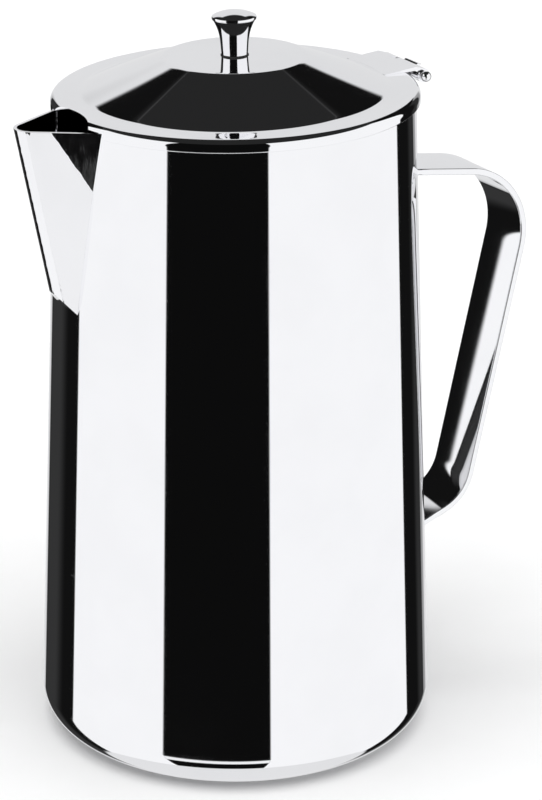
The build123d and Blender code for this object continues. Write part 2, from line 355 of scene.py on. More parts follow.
# ----------------------------------------------------------------------- finishes
@dataclass(frozen=True)
class PolishedSteel:
    """A stainless steel finish, from mirror to plain.

    Attributes:
        name: the material's name.
        tint: colour of the steel.
        roughness: of the cleanest spots.
        haze: added roughness in the patches.
        grain: direction of the polishing lines.
        line_slope: strength of the lines, in metres of bump.
        wave_slope: strength of the sheet's waves, in metres of bump.
        waves_per_m: how close together the waves are.
        scratches: amount of hairline scratches.
        tilt: turn of the piece's own axis about Y, in radians.
        shift: where the piece's own axis crosses the frame, in metres.
        crown: how much the piece bulges across Y, per metre.
        twist: how much the piece leans across Y, as a slope.
        dished: whether the spout's dished corner is on this piece.
    """

    name: str
    tint: tuple[float, float, float] = (0.93, 0.93, 0.945)
    roughness: float = 0.03
    haze: float = 0.015
    grain: Grain = Grain.ROUND
    line_slope: float = 2.0e-7
    wave_slope: float = 1.2e-5
    waves_per_m: float = 25.0
    scratches: float = 0.25
    tilt: float = 0.0
    shift: tuple[float, float, float] = (0.0, 0.0, 0.0)
    crown: float = 0.0
    twist: float = 0.0
    dished: bool = False

    def shape(self, write: TreeWriter, own: bpy.types.NodeSocket) -> bpy.types.NodeSocket:
        """Height of the piece's slow bends, in metres.

        Args:
            write: the material's writer.
            own: the point in the piece's own frame.

        Returns:
            The height as a socket.
        """
        waves = write.add(
            "ShaderNodeGroup", {"node_tree": sheet_waves()}, Point=own, Waves_per_m=self.waves_per_m
        )
        height = write.math("MULTIPLY", waves.outputs["Height"], self.wave_slope)
        if self.crown or self.twist:
            y = write.add("ShaderNodeSeparateXYZ", Vector=own).outputs[1]
            slope = write.math("ADD", write.math("MULTIPLY", y, self.crown), self.twist)
            height = write.math("SUBTRACT", height, write.math("MULTIPLY", slope, y))
        if self.dished:
            dish = write.add("ShaderNodeGroup", {"node_tree": spout_dish()}, Point=own)
            height = write.math("SUBTRACT", height, dish.outputs["Depth"])
        return height

    def material(self) -> bpy.types.Material:
        """Build the material, or find it if it is there.

        Returns:
            The material.
        """
        if self.name in bpy.data.materials:
            return bpy.data.materials[self.name]
        material = bpy.data.materials.new(self.name)
        material.use_nodes = True
        material.node_tree.nodes.clear()
        write = TreeWriter(material.node_tree)
        place = write.add("ShaderNodeTexCoord")
        own = write.add(
            "ShaderNodeMapping",
            {"vector_type": "TEXTURE"},
            Vector=place.outputs["Object"],
            Location=self.shift,
            Rotation=(0.0, self.tilt, 0.0),
        ).outputs[0]
        lines = write.add("ShaderNodeGroup", {"node_tree": polishing_lines()}, Point=own)
        lines.inputs["Round"].default_value = 1.0 if self.grain is Grain.ROUND else 0.0
        lines.inputs["Stretch"].default_value = (
            BUFFED_STRETCH if self.grain is Grain.NONE else LINE_STRETCH
        )
        marks = write.add(
            "ShaderNodeGroup", {"node_tree": hairline_scratches()}, Point=own, Amount=self.scratches
        )
        hazy = write.math("MULTIPLY", lines.outputs["Patches"], self.haze)
        marked = write.math("MULTIPLY", marks.outputs["Mask"], SCRATCH_ROUGHNESS)
        roughness = write.math("ADD", write.math("ADD", hazy, marked), self.roughness)
        soft = write.add("ShaderNodeBump", Strength=1.0, Distance=1.0, Height=self.shape(write, own))
        fine = write.add(
            "ShaderNodeBump",
            Strength=1.0,
            Distance=self.line_slope,
            Height=lines.outputs["Height"],
            Normal=soft.outputs[0],
        )
        dull = tuple(PATCH_TONE * channel for channel in self.tint)
        colour = write.add(
            "ShaderNodeMix",
            {"data_type": "RGBA"},
            in_0=lines.outputs["Patches"],
            in_6=(*self.tint, 1.0),
            in_7=(*dull, 1.0),
        )
        steel = write.add(
            "ShaderNodeBsdfPrincipled",
            Base_Color=colour.outputs[2],
            Metallic=1.0,
            Roughness=roughness,
            Normal=fine.outputs[0],
        )
        write.add("ShaderNodeOutputMaterial", Surface=steel.outputs[0])
        return material


@dataclass(frozen=True)
class GasketRubber:
    """Matt black rubber of the thin ring under the knob."""

    name: str = "gasket_rubber"
    roughness: float = 0.62

    def material(self) -> bpy.types.Material:
        """Build the material, or find it if it is there.

        Returns:
            The material.
        """
        if self.name in bpy.data.materials:
            return bpy.data.materials[self.name]
        material = bpy.data.materials.new(self.name)
        material.use_nodes = True
        material.node_tree.nodes.clear()
        write = TreeWriter(material.node_tree)
        place = write.add("ShaderNodeTexCoord")
        speckle = write.add(
            "ShaderNodeTexNoise", Vector=place.outputs["Object"], Scale=2600.0, Detail=2.0
        )
        tone = write.add(
            "ShaderNodeMix",
            {"data_type": "RGBA"},
            in_0=speckle.outputs[0],
            in_6=(0.012, 0.012, 0.013, 1.0),
            in_7=(0.03, 0.03, 0.032, 1.0),
        )
        rough = write.ramp(speckle.outputs[0], 0.3, 0.7, self.roughness - 0.08, self.roughness + 0.08)
        bump = write.add("ShaderNodeBump", Distance=2.0e-5, Height=speckle.outputs[0])
        rubber = write.add(
            "ShaderNodeBsdfPrincipled",
            Base_Color=tone.outputs[2],
            Roughness=rough,
            Normal=bump.outputs[0],
        )
        write.add("ShaderNodeOutputMaterial", Surface=rubber.outputs[0])
        return material


# ---------------------------------------------------------------- outline drawing
@dataclass
class Outline:
    """A line of (radius, height) points in millimetres, with rounded corners."""

    points: list[Pair] = field(default_factory=list)
    normals: list[Pair] = field(default_factory=list)

    @classmethod
    def rounded(cls, corners: Sequence[Pair], radii: Sequence[float], step: float = 5.0) -> "Outline":
        """Round the corners of a polyline.

        Args:
            corners: the polyline, ends included.
            radii: one radius for each corner between the ends.
            step: degrees between points on a corner.

        Returns:
            The line with a left-hand to right-hand normal at each point.
        """
        line = cls()
        start = Vector(corners[0])
        for before, corner, after, radius in zip(corners, corners[1:], corners[2:], radii):
            point, incoming = Vector(corner), (Vector(corner) - Vector(before)).normalized()
            outgoing = (Vector(after) - point).normalized()
            turn = math.atan2(
                incoming.x * outgoing.y - incoming.y * outgoing.x, incoming.dot(outgoing)
            )
            reach = radius * math.tan(abs(turn) / 2)
            line.run(start, point - incoming * reach, incoming)
            side = math.copysign(1.0, turn)
            centre = point - incoming * reach + Vector((-incoming.y, incoming.x)) * radius * side
            steps = max(3, math.ceil(abs(math.degrees(turn)) / step))
            for i in range(1, steps):
                heading = math.atan2(incoming.y, incoming.x) + turn * i / steps
                out = Vector((math.sin(heading), -math.cos(heading)))
                spot = centre + out * radius * side
                line.put(spot, out)
            start = point + outgoing * reach
        line.run(start, Vector(corners[-1]), (Vector(corners[-1]) - start).normalized())
        return line

    def put(self, point: Vector, normal: Vector) -> None:
        """Add one point with its outward normal."""
        self.points.append((point.x, point.y))
        self.normals.append((normal.x, normal.y))

    def run(self, start: Vector, end: Vector, heading: Vector) -> None:
        """Add a straight run, with close points near its ends to hold the shading.

        Args:
            start: first point.
            end: last point.
            heading: unit direction from start to end.
        """
        normal = Vector((heading.y, -heading.x))
        length = (end - start).length
        near = min(0.8, length / 4)
        middle = max(1, int(length // 12))
        stops = [0.0, near, *[near + (length - 2 * near) * i / middle for i in range(1, middle)]]
        stops += [length - near, length]
        for stop in stops:
            self.put(start + heading * stop, normal)

    def offset(self, distance: float) -> list[Pair]:
        """The line moved inwards, against its normals.

        Args:
            distance: how far, in millimetres.

        Returns:
            The moved points, none past the axis.
        """
        moved = [
            (r - distance * nr, z - distance * nz)
            for (r, z), (nr, nz) in zip(self.points, self.normals)
        ]
        return [(max(r, 0.0), z) for r, z in moved]

    def sheet(self, thickness: float, round_start: bool, round_end: bool) -> list[Pair]:
        """A closed outline of sheet metal under this line.

        Args:
            thickness: of the sheet.
            round_start: whether the first end has a rounded edge.
            round_end: whether the last end has a rounded edge.

        Returns:
            The points of the outline, outer side first.
        """
        first, last = int(round_start), len(self.points) - int(round_end)
        loop = self.points[first:last]
        if round_end:
            loop += self.edge(-1, thickness)
        loop += reversed(self.offset(thickness)[first:last])
        if round_start:
            loop += reversed(self.edge(0, thickness))
        return loop

    def edge(self, index: int, thickness: float) -> list[Pair]:
        """The eased edge of the sheet at one end.

        Args:
            index: 0 for the line's first end, or -1 for its last.
            thickness: of the sheet.

        Returns:
            Points round the edge, from outside to inside.
        """
        (r, z), (nr, nz) = self.points[index], self.normals[index]
        middle = Vector((r - nr * thickness / 2, z - nz * thickness / 2))
        out = Vector((nr, nz)) * thickness / 2
        tip = Vector((-nz, nr)) * thickness / 4 * (1 if index else -1)
        turns = [math.pi * i / 10 for i in range(11)]
        spots = [middle + out * math.cos(a) + tip * (math.sin(a) - 1) for a in turns]
        return [(s.x, s.y) for s in spots]


# ------------------------------------------------------------------- mesh makers
def line_mesh(name: str, points: Sequence[Pair], closed: bool) -> bpy.types.Object:
    """A chain of edges in the XZ plane, in metres, for a tree to turn or sweep.

    Args:
        name: of the object.
        points: radius and height in millimetres.
        closed: whether the last point repeats the first.

    Returns:
        The object, which is linked into the scene.
    """
    chain = list(points) + ([points[0]] if closed else [])
    mesh = bpy.data.meshes.new(name)
    mesh.from_pydata(
        [(r * MM, 0.0, z * MM) for r, z in chain], [(i, i + 1) for i in range(len(chain) - 1)], []
    )
    made = bpy.data.objects.new(name, mesh)
    bpy.context.scene.collection.objects.link(made)
    return made


def turned_shell_tree() -> bpy.types.NodeTree:
    """Geometry tree that turns a chain of points about Z, and cuts it with another object.

    Returns:
        The tree, with its sizes as named inputs.
    """
    name = "TurnedShell"
    if name in bpy.data.node_groups:
        return bpy.data.node_groups[name]
    tree, write, given, result = group_tree(
        name,
        "GeometryNodeTree",
        [
            ("Outline", "NodeSocketGeometry", None),
            ("Segments", "NodeSocketInt", 240),
            ("Sharp Angle", "NodeSocketFloat", SHARP_ANGLE),
            ("Cut", "NodeSocketBool", False),
            ("Cutter", "NodeSocketObject", None),
            ("Finish", "NodeSocketMaterial", None),
        ],
        [("Shell", "NodeSocketGeometry")],
    )
    outline = given.outputs["Outline"]
    count = write.add("GeometryNodeAttributeDomainSize", Geometry=outline).outputs["Point Count"]
    columns = write.math("ADD", given.outputs["Segments"], 1.0)
    grid = write.add(
        "GeometryNodeMeshGrid", Size_X=1.0, Size_Y=1.0, Vertices_X=columns, Vertices_Y=count
    )
    index = write.add("GeometryNodeInputIndex").outputs[0]
    row = write.math("MODULO", index, count)
    column = write.math("FLOOR", write.math("DIVIDE", write.math("ADD", index, 0.5), count))
    spot = write.add(
        "GeometryNodeSampleIndex",
        {"data_type": "FLOAT_VECTOR", "domain": "POINT"},
        Geometry=outline,
        Value=write.add("GeometryNodeInputPosition").outputs[0],
        Index=row,
    )
    parts = write.add("ShaderNodeSeparateXYZ", Vector=spot.outputs[0])
    turn = write.math("MULTIPLY", write.math("DIVIDE", column, given.outputs["Segments"]), math.tau)
    place = write.add(
        "ShaderNodeCombineXYZ",
        X=write.math("MULTIPLY", parts.outputs[0], write.math("COSINE", turn)),
        Y=write.math("MULTIPLY", parts.outputs[0], write.math("SINE", turn)),
        Z=parts.outputs[2],
    )
    turned = write.add(
        "GeometryNodeSetPosition", Geometry=grid.outputs["Mesh"], Position=place.outputs[0]
    )
    joined = write.add("GeometryNodeMergeByDistance", Geometry=turned.outputs[0], Distance=0.002 * MM)
    shape = cut_by_cutter(write, joined.outputs[0], given)
    finish_tree(write, shape, given, result, "Shell")
    return tree


def cut_by_cutter(
    write: TreeWriter, shape: bpy.types.NodeSocket, given: bpy.types.Node
) -> bpy.types.NodeSocket:
    """Cut a shape with the tree's Cutter object, if its Cut input is on.

    Args:
        write: the tree's writer.
        shape: the geometry to cut.
        given: the tree's input node, with Cut and Cutter.

    Returns:
        The cut geometry.
    """
    cutter = write.add("GeometryNodeObjectInfo", Object=given.outputs["Cutter"])
    cut = write.add(
        "GeometryNodeMeshBoolean",
        {"operation": "DIFFERENCE", "solver": "EXACT"},
        Mesh_1=shape,
        Mesh_2=cutter.outputs["Geometry"],
        Self_Intersection=True,
    )
    either = write.add(
        "GeometryNodeSwitch",
        {"input_type": "GEOMETRY"},
        in_0=given.outputs["Cut"],
        in_1=shape,
        in_2=cut.outputs[0],
    )
    return either.outputs[0]


def finish_tree(
    write: TreeWriter,
    shape: bpy.types.NodeSocket,
    given: bpy.types.Node,
    result: bpy.types.Node,
    output: str,
) -> None:
    """End a geometry tree: smooth shading with sharp edges, real geometry, material.

    Args:
        write: the tree's writer.
        shape: the geometry to finish.
        given: the tree's input node, with Sharp Angle and Finish.
        result: the tree's output node.
        output: the name of its output.
    """
    smooth = write.add("GeometryNodeSetShadeSmooth", {"domain": "FACE"}, Geometry=shape)
    bend = write.add("GeometryNodeInputMeshEdgeAngle").outputs["Unsigned Angle"]
    sharp = write.math("GREATER_THAN", bend, given.outputs["Sharp Angle"])
    creased = write.add(
        "GeometryNodeSetShadeSmooth",
        {"domain": "EDGE"},
        Geometry=smooth.outputs[0],
        Selection=sharp,
        Shade_Smooth=False,
    )
    real = write.add("GeometryNodeRealizeInstances", Geometry=creased.outputs[0])
    dressed = write.add(
        "GeometryNodeSetMaterial", Geometry=real.outputs[0], Material=given.outputs["Finish"]
    )
    write.tree.links.new(dressed.outputs[0], result.inputs[output])


def swept_bar_tree() -> bpy.types.NodeTree:
    """Geometry tree that sweeps a flat bar's section along a path.

    Returns:
        The tree, with its sizes as named inputs.
    """
    name = "SweptBar"
    if name in bpy.data.node_groups:
        return bpy.data.node_groups[name]
    tree, write, given, result = group_tree(
        name,
        "GeometryNodeTree",
        [
            ("Path", "NodeSocketGeometry", None),
            ("Width", "NodeSocketFloat", 0.0195),
            ("Thickness", "NodeSocketFloat", 0.002),
            ("Edge Radius", "NodeSocketFloat", 0.0004),
            ("Sharp Angle", "NodeSocketFloat", SHARP_ANGLE),
            ("Cut", "NodeSocketBool", False),
            ("Cutter", "NodeSocketObject", None),
            ("Finish", "NodeSocketMaterial", None),
        ],
        [("Bar", "NodeSocketGeometry")],
    )
    path = write.add("GeometryNodeMeshToCurve", Mesh=given.outputs["Path"])
    section = write.add(
        "GeometryNodeCurvePrimitiveQuadrilateral",
        {"mode": "RECTANGLE"},
        Width=given.outputs["Width"],
        Height=given.outputs["Thickness"],
    )
    eased = write.add(
        "GeometryNodeFilletCurve",
        {"mode": "POLY"},
        Curve=section.outputs[0],
        Radius=given.outputs["Edge Radius"],
    )
    eased.inputs["Count"].default_value = 4
    bar = write.add(
        "GeometryNodeCurveToMesh", Curve=path.outputs[0], Profile_Curve=eased.outputs[0], Fill_Caps=True
    )
    shape = cut_by_cutter(write, bar.outputs[0], given)
    finish_tree(write, shape, given, result, "Bar")
    return tree


def grow(
    seed: bpy.types.Object, tree: bpy.types.NodeTree, name: str, inputs: dict[str, object]
) -> bpy.types.Object:
    """Run a geometry tree on an object and keep the result as a plain mesh.

    Args:
        seed: the object that the tree starts from. It is removed afterwards.
        tree: the geometry tree.
        name: of the finished piece.
        inputs: values for the tree's named inputs.

    Returns:
        The finished piece, linked into the scene, at the origin.
    """
    modifier = seed.modifiers.new(tree.name, "NODES")
    modifier.node_group = tree
    sockets = {
        item.name: item.identifier for item in tree.interface.items_tree if item.in_out == "INPUT"
    }
    for label, value in inputs.items():
        modifier[sockets[label]] = value
    bpy.context.view_layer.update()
    evaluated = seed.evaluated_get(bpy.context.evaluated_depsgraph_get())
    mesh = bpy.data.meshes.new_from_object(evaluated)
    mesh.name = name
    piece = bpy.data.objects.new(name, mesh)
    bpy.context.scene.collection.objects.link(piece)
    bpy.data.objects.remove(seed)
    return piece


def settle(
    piece: bpy.types.Object, body: Body, nodes: Sequence[str], finish: object
) -> bpy.types.Object:
    """Give a finished piece its material and its body, and hide the drawn parts that it stands for.

    Args:
        piece: the mesh object, in place.
        body: the body that it rides on.
        nodes: the drawn parts that it stands for.
        finish: the finish, which has a material method.

    Returns:
        The same piece.
    """
    piece.data.materials.clear()
    piece.data.materials.append(finish.material())
    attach(piece, body.value)
    if nodes:
        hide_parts(*nodes)
    log.info("%s: %d faces", piece.name, len(piece.data.polygons))
    return piece


def eased_copy(node: str, name: str, ease: float) -> bpy.types.Object:
    """A merged copy of a drawn part, with eased edges and even shading.

    Args:
        node: the drawn part.
        name: of the new piece.
        ease: width of the eased edges, in millimetres.

    Returns:
        The new piece, with its modifiers live.
    """
    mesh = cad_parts[node].data.copy()
    mesh.name = name
    work = bmesh.new()
    work.from_mesh(mesh)
    bmesh.ops.remove_doubles(work, verts=work.verts, dist=0.004 * MM)
    bmesh.ops.dissolve_limit(
        work, angle_limit=FLAT_ANGLE, verts=work.verts, edges=work.edges, delimit={"NORMAL"}
    )
    for face in work.faces:
        face.smooth = True
    work.to_mesh(mesh)
    work.free()
    piece = bpy.data.objects.new(name, mesh)
    bpy.context.scene.collection.objects.link(piece)
    bevel = piece.modifiers.new("Eased edges", "BEVEL")
    bevel.width = ease * MM
    bevel.segments = 3
    bevel.limit_method = "ANGLE"
    bevel.angle_limit = BEVEL_ANGLE
    bevel.use_clamp_overlap = True
    bevel.harden_normals = False
    even_shading(piece)
    return piece


def even_shading(piece: bpy.types.Object) -> None:
    """Let the broad faces of a piece set the shading of its narrow edges.

    Args:
        piece: the mesh object.
    """
    even = piece.modifiers.new("Even shading", "WEIGHTED_NORMAL")
    even.mode = "FACE_AREA_WITH_ANGLE"
    even.weight = 80


def strip_cutters(*cutters: bpy.types.Object) -> None:
    """Remove objects that only served as cutters.

    Args:
        cutters: the objects.
    """
    for cutter in cutters:
        bpy.data.objects.remove(cutter)


def solid_of(points: Sequence[tuple[float, float, float]], name: str) -> bpy.types.Object:
    """The convex solid round some points, for cutting.

    Args:
        points: corners in millimetres.
        name: of the object.

    Returns:
        The solid, linked into the scene.
    """
    work = bmesh.new()
    for point in points:
        work.verts.new(Vector(point) * MM)
    hull = bmesh.ops.convex_hull(work, input=work.verts)
    bmesh.ops.delete(work, geom=[v for v in hull["geom_interior"] if v.is_valid], context="VERTS")
    bmesh.ops.recalc_face_normals(work, faces=work.faces)
    mesh = bpy.data.meshes.new(name)
    work.to_mesh(mesh)
    work.free()
    made = bpy.data.objects.new(name, mesh)
    bpy.context.scene.collection.objects.link(made)
    return made


# -------------------------------------------------------------------- the pieces
@dataclass
class PotBody:
    """The tapered wall and its pressed base. Sizes in millimetres."""

    base_radius: float = 60.4
    rim_radius: float = 52.5
    rim_height: float = 196.3
    sheet: float = 1.0
    corner_radius: float = 10.5
    seam_height: float = 12.0
    foot_ring_width: float = 9.0
    base_lift: float = 1.2
    base_step_run: float = 3.0

    @property
    def slope(self) -> float:
        """How much the radius shrinks for each millimetre of height."""
        return (self.base_radius - self.rim_radius) / self.rim_height

    def radius(self, height: float) -> float:
        """Outer radius of the wall at a height."""
        return self.base_radius - self.slope * height

    def inside(self) -> bpy.types.Object:
        """A solid cone up to the wall's outer face, for trimming what is welded to it.

        Returns:
            The solid, linked into the scene.
        """
        low, high = self.seam_height, self.rim_height + CUT_PAST
        corners = [(0, low), (self.radius(low), low), (self.radius(high), high), (0, high)]
        seed = line_mesh("inside", corners, closed=False)
        return grow(seed, turned_shell_tree(), "inside_wall", {})

    def build(self, spout: "Spout") -> list[bpy.types.Object]:
        """Make the wall, notched for the spout, and the base.

        Args:
            spout: the spout, which gives the notch.

        Returns:
            The two pieces.
        """
        seam = (self.radius(self.seam_height), self.seam_height)
        rim = (self.rim_radius, self.rim_height)
        line = Outline.rounded([seam, rim], [])
        seed = line_mesh("wall_outline", line.sheet(self.sheet, False, True), closed=True)
        notch = spout.wedge(spout.sheet + spout.notch_ledge, self)
        wall = grow(seed, turned_shell_tree(), "body_wall_skin", {"Cut": True, "Cutter": notch})
        strip_cutters(notch)
        settle(wall, Body.POT, ["body_wall"], WALL_FINISH)

        ring_inner = self.base_radius - self.corner_radius - self.foot_ring_width
        corners = [
            (0, self.base_lift),
            (ring_inner - self.base_step_run, self.base_lift),
            (ring_inner, 0),
            (self.base_radius, 0),
            seam,
        ]
        line = Outline.rounded(corners, [2 * self.sheet, 2 * self.sheet, self.corner_radius])
        seed = line_mesh("base_outline", line.sheet(self.sheet, False, False), closed=False)
        base = grow(seed, turned_shell_tree(), "base_pan_skin", {})
        settle(base, Body.POT, ["base_pan"], BASE_FINISH)
        return [wall, base]


@dataclass
class Spout:
    """The folded spout. Sizes in millimetres and degrees."""

    reach: float = 69.8
    top: float = 195.4
    keel_slope: float = 11.2
    flank_angle: float = 32.0
    keel_radius: float = 5.6
    foot: float = 140.0
    foot_slope: float = 48.0
    sheet: float = 1.0
    notch_ledge: float = 0.6
    ease: float = 0.22

    def wedge(self, inset: float, pot: PotBody) -> bpy.types.Object:
        """The sharp wedge between the flanks, moved in by an inset, for cutting.

        Args:
            inset: distance inside the flanks' outer faces.
            pot: the body that the spout is on.

        Returns:
            The solid wedge.
        """
        half = math.radians(self.flank_angle)
        fold = self.keel_radius * (1 / math.sin(half) - 1)
        lean = math.tan(math.radians(self.keel_slope))
        rise = math.tan(math.radians(self.foot_slope))
        lift = inset / math.cos(math.radians(self.foot_slope))
        foot_x = -pot.radius(self.foot)
        back = -pot.rim_radius * SPREAD_START

        def tip(height: float) -> float:
            """Where the flanks meet at a height."""
            return -(self.reach + fold - lean * (self.top - height)) + inset / math.sin(half)

        def under(x: float) -> float:
            """Height of the underside."""
            return self.foot + lift + rise * (foot_x - x)

        # The underside's plane meets the keel where both give the same height
        high = self.top + CUT_PAST
        low_x = (tip(0) - lean * (self.foot + lift + rise * foot_x)) / (1 - lean * rise)
        corners = [(tip(high), 0, high), (low_x, 0, under(low_x))]
        for side in (-1, 1):
            corners.append((back, side * (back - tip(high)) * math.tan(half), high))
            level = under(back)
            corners.append((back, side * (back - tip(level)) * math.tan(half), level))
        return solid_of(corners, "spout_wedge")

    def build(self) -> bpy.types.Object:
        """Make the spout from its drawn part, with eased edges."""
        piece = eased_copy("spout", "spout_skin", self.ease)
        return settle(piece, Body.POT, ["spout"], SPOUT_FINISH)


@dataclass
class StrapHandle:
    """The bent strap. Sizes in millimetres and degrees."""

    width: float = 19.5
    thickness: float = 2.0
    top: float = 169.3
    bottom: float = 50.1
    reach: float = 101.4
    upper_arm_drop: float = 7.4
    leg_lean: float = 12.5
    lower_arm_rise: float = 20.5
    upper_bend: float = 23.0
    lower_bend: float = 16.0
    edge_radius: float = 0.45
    run_in: float = 8.0

    def path(self, pot: PotBody) -> Outline:
        """The strap's outer line, from inside the wall below to inside it at the top.

        Args:
            pot: the body that the strap is welded to.

        Returns:
            The line.
        """
        fall = math.tan(math.radians(self.upper_arm_drop))
        lean = math.tan(math.radians(self.leg_lean))
        rise = math.tan(math.radians(self.lower_arm_rise))
        top_start, bottom_start = pot.radius(self.top), pot.radius(self.bottom)
        corner_z = self.top - fall * (self.reach - top_start)
        low_x = (self.reach - lean * (corner_z - self.bottom + rise * bottom_start)) / (1 - lean * rise)
        low_z = self.bottom + rise * (low_x - bottom_start)
        corners = [
            (bottom_start - self.run_in, self.bottom - rise * self.run_in),
            (low_x, low_z),
            (self.reach, corner_z),
            (top_start - self.run_in, self.top + fall * self.run_in),
        ]
        return Outline.rounded(corners, [self.lower_bend, self.upper_bend], step=3.0)

    def build(self, pot: PotBody) -> bpy.types.Object:
        """Make the strap, trimmed to the wall.

        Args:
            pot: the body that the strap is welded to.

        Returns:
            The strap.
        """
        centre = self.path(pot).offset(self.thickness / 2)
        seed = line_mesh("strap_line", centre, closed=False)
        sizes = {
            "Width": self.width * MM,
            "Thickness": self.thickness * MM,
            "Edge Radius": self.edge_radius * MM,
        }
        inside = pot.inside()
        strap = grow(seed, swept_bar_tree(), "handle_strap", {**sizes, "Cut": True, "Cutter": inside})
        strip_cutters(inside)
        even_shading(strap)
        return settle(strap, Body.POT, ["handle"], STRAP_FINISH)


@dataclass
class Lid:
    """The pressed lid, drawn level and then leant towards the spout. Millimetres, degrees."""

    sheet: float = 0.8
    tilt: float = 1.15
    gap: float = 0.08
    skirt_gap: float = 0.45
    skirt: float = 2.8
    edge_bend: float = 2.2
    flange_width: float = 8.2
    dome_height: float = 10.0
    disc_radius: float = 20.6
    dome_foot_bend: float = 5.0
    disc_bend: float = 3.0
    bite_depth: float = 3.8
    bite_radius: float = 26.0
    spout_clearance: float = 0.5
    bore: float = 1.7

    def radius(self, pot: PotBody) -> float:
        """Outer radius of the skirt."""
        return pot.rim_radius + self.skirt_gap + self.sheet

    def seat(self, pot: PotBody) -> float:
        """Height of the flange's lower face on the axis.

        Args:
            pot: the body that the lid covers.

        Returns:
            The height in millimetres.
        """
        bend = self.edge_bend - self.sheet
        overlap = max(0.0, bend - self.skirt_gap)
        room = bend - math.sqrt(bend**2 - overlap**2)
        return pot.rim_height + self.gap + room + pot.rim_radius * math.sin(math.radians(self.tilt))

    def place(self, pot: PotBody) -> Matrix:
        """The move from the level drawing to the frame, in metres."""
        lean = Euler((0.0, -math.radians(self.tilt), 0.0)).to_matrix().to_4x4()
        return Matrix.Translation((0.0, 0.0, self.seat(pot) * MM)) @ lean

    def finish(self, name: str, pot: PotBody, **changes: object) -> PolishedSteel:
        """A finish whose polishing lines run round the lid's own leaning axis.

        Args:
            name: the material's name.
            pot: the body that the lid covers.
            changes: values for the finish's other fields.

        Returns:
            The finish.
        """
        return PolishedSteel(
            name, tilt=-math.radians(self.tilt), shift=(0.0, 0.0, self.seat(pot) * MM), **changes
        )

    def build(self, pot: PotBody, spout: Spout) -> bpy.types.Object:
        """Make the lid with its bite at the spout.

        Args:
            pot: the body that the lid covers.
            spout: the spout that the lid clears.

        Returns:
            The lid.
        """
        radius = self.radius(pot)
        corners = [
            (radius, -self.skirt),
            (radius, self.sheet),
            (radius - self.flange_width, self.sheet),
            (self.disc_radius, self.sheet + self.dome_height),
            (self.bore, self.sheet + self.dome_height),
        ]
        line = Outline.rounded(corners, [self.edge_bend, self.dome_foot_bend, self.disc_bend], step=4.0)
        seed = line_mesh("lid_outline", line.sheet(self.sheet, True, False), closed=True)
        cutter = spout.wedge(-self.spout_clearance, pot)
        limit = spout.top + self.spout_clearance
        for vertex in cutter.data.vertices:
            vertex.co.z = min(vertex.co.z, limit * MM)
        cutter.data.transform(self.place(pot).inverted())
        centre = -(radius - self.bite_depth + self.bite_radius)
        bite = bmesh.new()
        bite.from_mesh(cutter.data)
        around = bmesh.ops.create_cone(
            bite,
            cap_ends=True,
            segments=160,
            radius1=self.bite_radius * MM,
            radius2=self.bite_radius * MM,
            depth=2 * CUT_PAST * MM,
        )
        bmesh.ops.translate(bite, verts=around["verts"], vec=(centre * MM, 0.0, 0.0))
        bite.to_mesh(cutter.data)
        bite.free()
        shell = grow(seed, turned_shell_tree(), "lid_skin", {"Cut": True, "Cutter": cutter})
        strip_cutters(cutter)
        shell.data.transform(self.place(pot))
        finish = self.finish("lid_mirror", pot, wave_slope=2.0e-5, waves_per_m=18.0)
        return settle(shell, Body.LID, ["lid_shell"], finish)


